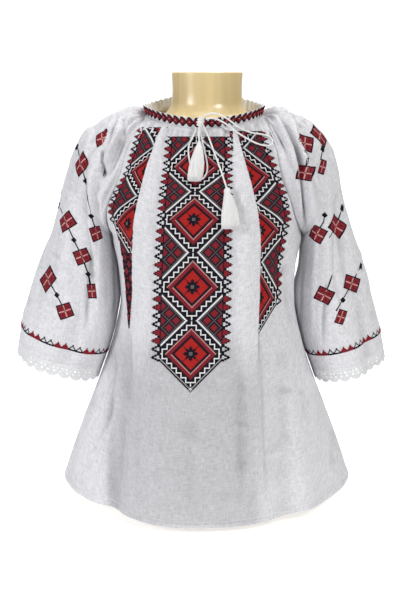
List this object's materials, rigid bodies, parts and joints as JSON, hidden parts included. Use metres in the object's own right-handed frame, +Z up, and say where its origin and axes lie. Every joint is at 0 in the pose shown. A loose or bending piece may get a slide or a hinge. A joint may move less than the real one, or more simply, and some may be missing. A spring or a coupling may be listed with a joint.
{
  "type": "romanian ie blouse on a limbless dress form",
  "caption": "Gathered white raglan blouse with three-quarter sleeves, standing neck frill, lace cuffs and a tasselled drawstring bow, worn on a limbless dress form",
  "frame": {"origin": "the middle of the form's underside, on the surface that it stands on", "axes": "+Z up from the base to the neck, -Y to the wearer's front, +X to the wearer's left"},
  "size_m": [0.6502, 0.3399, 0.74],
  "materials": {
    "cotton": "plain woven cotton, slightly slubby",
    "frill": "gathered cotton filled with crimson and black stitches",
    "lace": "cotton eyelet lace",
    "cord": "twisted cotton cord and thread",
    "form": "glossy gold-tan"
  },
  "bodies": {
    "root": {"front": "cotton", "back": "cotton", "sleeve_right": "cotton", "sleeve_left": "cotton", "neck_frill": "frill", "lace_right": "lace", "lace_left": "lace", "knot": "cord", "loop_right": "cord", "loop_left": "cord", "end_right": "cord", "end_left": "cord", "tassel_right": "cord", "tassel_left": "cord", "dress_form": "form"}
  },
  "joints": []
}
